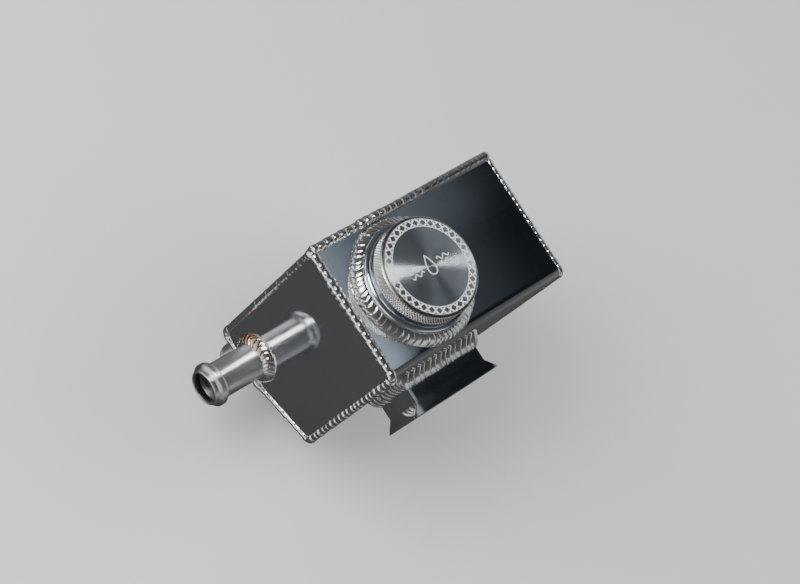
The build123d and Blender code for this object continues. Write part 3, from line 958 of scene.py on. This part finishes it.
def make_marks(face_height, material):
    """The white ring of crossed lines on the cap's face, and a plain drop mark in its middle."""
    cell, cell_faces = lattice_cell()
    vertices, faces = [], []
    for step in range(RING_CELLS):
        first = len(vertices)
        for p in cell:
            angle = 2 * math.pi * (step + p.x) / RING_CELLS
            radius = RING_INNER + (RING_OUTER - RING_INNER) * p.y
            vertices.append(Vector((radius * math.cos(angle), radius * math.sin(angle), 0)))
        faces += [tuple(first + i for i in face) for face in cell_faces]
    add_ribbon(vertices, faces, drop_outline(), 0.55 * MM, closed=True)
    for level in (-1, 1):
        for shift in (-4.6 * MM, -7.2 * MM):
            add_ribbon(vertices, faces, wave_line(level, shift), 0.55 * MM, closed=False)
    lift = FILLER + Z * (face_height + MARK_PROUD)
    marks = make_object("cap_marks", [v + lift for v in vertices], faces, material)
    weld_vertices(marks, 1e-7)
    depth = marks.modifiers.new("depth", "SOLIDIFY")
    depth.thickness = 2 * MARK_PROUD
    depth.offset = -1
    apply_modifiers(marks)
    finish_mesh(marks, 30.0)
    place_piece(marks, "cap", "turned_aluminium")


def add_ribbon(vertices, faces, points, width, closed):
    """A flat strip of even width along a line."""
    count = len(points)
    first = len(vertices)
    for k, point in enumerate(points):
        way = way_at(points, k, closed)
        side = Vector((-way.y, way.x, 0)) * width / 2
        vertices += [point + side, point - side]
    for k in range(count if closed else count - 1):
        a, b = first + 2 * k, first + 2 * ((k + 1) % count)
        faces.append((a, a + 1, b + 1, b))


def drop_outline():
    """A plain drop, point up along +Y."""
    points = []
    for k in range(48):
        angle = 2 * math.pi * k / 48
        width = 3.4 * MM * math.sin(angle) * math.sin(angle / 2) ** 1.3
        points.append(Vector((width, 1.0 * MM + 5.2 * MM * math.cos(angle), 0)))
    return points


def wave_line(side, level):
    """A short wave to one side of the drop."""
    points = []
    for k in range(25):
        part = k / 24
        along = side * (5.0 + 8.0 * part) * MM
        points.append(Vector((along, level + 6.2 * MM + 0.9 * MM * math.sin(part * 4 * math.pi), 0)))
    return points


def make_o_ring(material):
    low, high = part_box("cap_o_ring")
    cord = (high.z - low.z) / 2
    middle = (high.x - low.x) / 2 - cord
    height = (low.z + high.z) / 2 - TOP_Z
    profile = []
    for k in range(20):
        angle = 2 * math.pi * k / 20
        profile.append((middle + cord * math.cos(angle), height + cord * math.sin(angle)))
    ring = lathe("o_ring_seal", profile, FILLER, Z, X, material, segments=128)
    return place_piece(ring, "cap_seal", "nitrile_rubber", "cap_o_ring")


def dress_cad_nodes(finishes):
    """Gives the inner CAD nodes, whose shapes stay, their finished materials."""
    for node, material in finishes.items():
        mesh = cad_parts[node].data
        mesh.materials.clear()
        mesh.materials.append(material)


def make_object_pieces():
    sheet = polished_sheet()
    weld = weld_metal()
    tube = satin_metal("tube_aluminium", (0.83, 0.84, 0.85), 0.36, (0.2, 1, 1), 500.0, "X")
    low_tube = satin_metal("low_tube_aluminium", (0.83, 0.84, 0.85), 0.36, (1, 1, 0.2), 500.0, "Z")
    # the bore's dark grey is painted shade for the inside of the tubes, not a colour of the metal
    bore = satin_metal("tube_bore_painted_shade", (0.26, 0.265, 0.27), 0.45, scale=300.0)
    turned = turned_metal("turned_aluminium", 0.42, 9000.0, 1.0)
    neck_metal = turned_metal("turned_neck", 0.13, 5000.0, 0.35)
    milled = satin_metal("milled_aluminium", (0.80, 0.81, 0.83), 0.09, (0.1, 1, 1), 300.0)
    mill = satin_metal("mill_finish_sheet", (0.72, 0.73, 0.74), 0.38, (0.05, 1, 1), 300.0)
    steel = satin_metal("stainless_strainer", (0.62, 0.62, 0.61), 0.33, scale=500.0)

    make_shell(sheet)
    make_end_plate("front_plate_sheet", FRONT_X, NOTCH, FRONT_TUBE, "front_end_plate", sheet)
    make_end_plate("rear_plate_sheet", REAR_X - SHEET, SHEET, None, "rear_end_plate", sheet)
    make_tube("front_tube", FRONT_TUBE, -X, Y, FRONT_TUBE_R, FRONT_TUBE_WALL, FRONT_X - FRONT_TUBE_LOW.x,
              FRONT_COLLAR_R, "front_hose_tube", tube, bore)
    make_tube("bottom_tube", BOTTOM_TUBE, -Z, X, BOTTOM_TUBE_R, BOTTOM_TUBE_WALL,
              SHELL_LOW.z - BOTTOM_TUBE_LOW.z, BOTTOM_COLLAR_R, "bottom_hose_tube", low_tube, bore)
    make_corner_welds(weld)
    make_round_welds(weld)
    make_dovetail(milled, weld)
    make_neck(neck_metal)
    make_cap(turned, knurled_metal(), laser_mark())
    make_o_ring(black_rubber())
    dress_cad_nodes({"baffle_plate": mill, "baffle_tack_welds": weld, "strainer_rim": steel,
                     "strainer_cup": steel})


# ==== stage, lights and camera ===========================================================
CAMERA_AZIMUTH = -82.97
CAMERA_ELEVATION = 54.13
CAMERA_ROLL = 51.2
CAMERA_DISTANCE = 0.9065
CAMERA_LENS = 81.0
AIM_POINT = Vector((11.4, 57.9, 3.1)) * MM


def flat_material(name, color, roughness):
    material, tree, shader = new_material(name, color, 0.0, roughness)
    cloud = stretched_noise(tree, 3.0, detail=3.0)
    light = tuple(min(1.0, c * 1.02) for c in color)
    tree.links.new(tinted(tree, cloud, tuple(c * 0.98 for c in color), light), shader.inputs["Base Color"])
    return material


def smooth_step(tree, value, low, high):
    """0 below low, 1 above high (or the other way round), with a soft change between."""
    node = add_node(tree, "ShaderNodeMapRange", {"Value": value, "From Min": low, "From Max": high},
                    interpolation_type="SMOOTHSTEP")
    return node.outputs["Result"]


def glow_material(name, build_tone, color):
    """An emitting surface whose brightness comes from its own place. build_tone(tree, x, y, z)."""
    material = bpy.data.materials.new(name)
    material.use_nodes = True
    tree = material.node_tree
    tree.nodes.clear()
    place = add_node(tree, "ShaderNodeTexCoord").outputs["Object"]
    split = add_node(tree, "ShaderNodeSeparateXYZ", {"Vector": place})
    tone = build_tone(tree, split.outputs["X"], split.outputs["Y"], split.outputs["Z"])
    glow = add_node(tree, "ShaderNodeEmission", {"Color": (*color, 1), "Strength": tone})
    end = add_node(tree, "ShaderNodeOutputMaterial")
    tree.links.new(glow.outputs[0], end.inputs["Surface"])
    return material


def reflected_only(piece):
    """Part of the studio that shows in the polished metal and nowhere else."""
    piece.visible_camera = False
    piece.visible_diffuse = False
    piece.visible_shadow = False
    piece.visible_transmission = False


WALL_DISTANCE = 3.0
WALL_STOPS = [(-1.0, 0.06), (-0.75, 0.078), (-0.5, 0.10), (-0.15, 0.10), (0.1, 0.12), (0.45, 0.10),
              (0.8, 0.06), (1.0, 0.05)]
# (toward x, toward y, width, lowest and highest level, brightness)
WALL_WINDOWS = [(-0.94, 0.34, 0.50, -0.45, 0.24, 1.2), (0.12, -0.99, 0.13, -0.05, 0.40, 0.5),
                (1.0, 0.0, 0.40, -0.30, 0.62, 0.45), (0.60, 0.80, 0.25, -0.70, -0.35, 0.30),
                (-0.65, -0.76, 0.20, -0.60, -0.20, 0.35)]


def wall_tone(tree, x, y, z):
    """Dark below, brighter at eye level and dim above, with some soft windows round about."""
    level = times(tree, z, 1 / WALL_DISTANCE)
    tones = add_node(tree, "ShaderNodeValToRGB", {"Fac": ramp(tree, level, 0.0, 1.0, -1.0, 1.0)})
    while len(tones.color_ramp.elements) < len(WALL_STOPS):
        tones.color_ramp.elements.new(0.5)
    for element, (height, tone) in zip(tones.color_ramp.elements, WALL_STOPS):
        element.position = (height + 1) / 2
        element.color = (tone, tone, tone, 1)
    total = times(tree, tones.outputs["Color"], 1.0)
    for toward_x, toward_y, width, low, high, gain in WALL_WINDOWS:
        facing = plus(tree, times(tree, x, toward_x / WALL_DISTANCE),
                      times(tree, y, toward_y / WALL_DISTANCE))
        band = times(tree, smooth_step(tree, level, low - 0.15, low + 0.15),
                     smooth_step(tree, level, high + 0.15, high - 0.15))
        window = times(tree, smooth_step(tree, facing, 1 - width, 1 - width / 3), band)
        total = plus(tree, total, times(tree, window, gain))
    return total


def panel_card_tone(tree, x, y, z):
    """What the top panel mirrors: lit over its front and along its seam, dark over its rear."""
    front = times(tree, smooth_step(tree, x, -0.08, -0.125), 0.40)
    side = plus(tree, times(tree, smooth_step(tree, y, 0.0, 0.10), -0.6), 1.0)
    seam = times(tree, smooth_step(tree, y, 0.05, 0.10), smooth_step(tree, x, 0.13, -0.04))
    middle = times(tree, smooth_step(tree, x, 0.09, -0.02), smooth_step(tree, y, -0.03, -0.01))
    tone = plus(tree, times(tree, front, side), times(tree, seam, 0.08))
    return plus(tree, plus(tree, tone, times(tree, middle, 0.04)), 0.013)


def key_card_tone(tree, x, y, z):
    """A softbox, bright to near its edges."""
    across = times(tree, smooth_step(tree, x, -0.24, -0.17), smooth_step(tree, x, 0.24, 0.17))
    along = times(tree, smooth_step(tree, y, -0.24, -0.17), smooth_step(tree, y, 0.24, 0.17))
    return plus(tree, times(tree, times(tree, across, along), 13.0), 0.1)


def make_card(name, centre, facing, width, depth, tone, color):
    """A flat lit card, level or turned to face along a direction, seen only in the metal."""
    card = level_rectangle(name, Vector((0, 0, 0)), width, depth, glow_material(name, tone, color))
    if facing:
        face_towards(card, facing)
    card.location = centre
    reflected_only(card)


KEY_DIRECTION = Vector((-0.60, 0.41, 0.687))
FLOOR_SIZE = 12.0


def make_stage():
    """A wide pale floor under the part, and the studio that its polished metal mirrors."""
    under_part = Vector((CAD_CENTRE.x, CAD_CENTRE.y, CAD_LOW.z - 0.05 * MM))
    pale = flat_material("floor", (0.78, 0.78, 0.77), 0.8)
    floor = level_rectangle("floor", under_part, FLOOR_SIZE, FLOOR_SIZE, pale)
    floor.visible_glossy = False

    dome_mesh = bpy.data.meshes.new("studio_walls")
    with edited(dome_mesh) as work:
        bmesh.ops.create_uvsphere(work, u_segments=48, v_segments=32, radius=WALL_DISTANCE)
    dome = add_object("studio_walls", dome_mesh)
    dome.location = CAD_CENTRE
    dome_mesh.materials.append(glow_material("studio_walls", wall_tone, (0.98, 0.99, 1.0)))
    reflected_only(dome)

    over_panel = Vector((0.479, 0.061, TOP_Z + 0.60))
    make_card("panel_card", over_panel, None, 0.46, 0.38, panel_card_tone, (0.78, 0.92, 1.05))
    key = Vector((FILLER.x, FILLER.y, TOP_Z)) + KEY_DIRECTION * 1.0
    make_card("key_card", key, KEY_DIRECTION, 0.48, 0.48, key_card_tone, (1.0, 0.99, 0.97))

    world = bpy.data.worlds.new("studio")
    bpy.context.scene.world = world
    world.use_nodes = True
    world.node_tree.nodes["Background"].inputs["Color"].default_value = (0.80, 0.81, 0.83, 1)
    world.node_tree.nodes["Background"].inputs["Strength"].default_value = 0.55


def make_softbox(name, towards, distance, width, height, power):
    """A soft rectangular light that faces the object; the cards stand for it in reflections."""
    data = bpy.data.lights.new(name, "AREA")
    data.shape = "RECTANGLE"
    data.size = width
    data.size_y = height
    data.energy = power
    light = add_object(name, data)
    towards = Vector(towards).normalized()
    light.location = CAD_CENTRE + towards * distance
    face_towards(light, towards)
    light.visible_camera = False
    light.visible_glossy = False


def make_lights():
    make_softbox("key_softbox", KEY_DIRECTION, 1.1, 0.7, 0.7, 14.0)
    make_softbox("side_softbox", (0.8, -0.4, 0.8), 1.4, 0.9, 0.9, 9.0)


def make_camera():
    azimuth, elevation = math.radians(CAMERA_AZIMUTH), math.radians(CAMERA_ELEVATION)
    back = Vector((math.sin(azimuth) * math.cos(elevation), -math.cos(azimuth) * math.cos(elevation),
                   math.sin(elevation)))
    data = bpy.data.cameras.new("camera")
    data.lens = CAMERA_LENS
    data.sensor_width = 36.0
    data.clip_start = 0.01
    camera = add_object("camera", data)
    camera.location = AIM_POINT + back * CAMERA_DISTANCE
    camera.rotation_mode = "QUATERNION"
    level = (-back).to_track_quat("-Z", "Y")
    camera.rotation_quaternion = level @ Matrix.Rotation(math.radians(CAMERA_ROLL), 3, "Z").to_quaternion()
    bpy.context.scene.camera = camera


make_camera()
make_object_pieces()
make_stage()
make_lights()
bpy.context.view_layer.update()
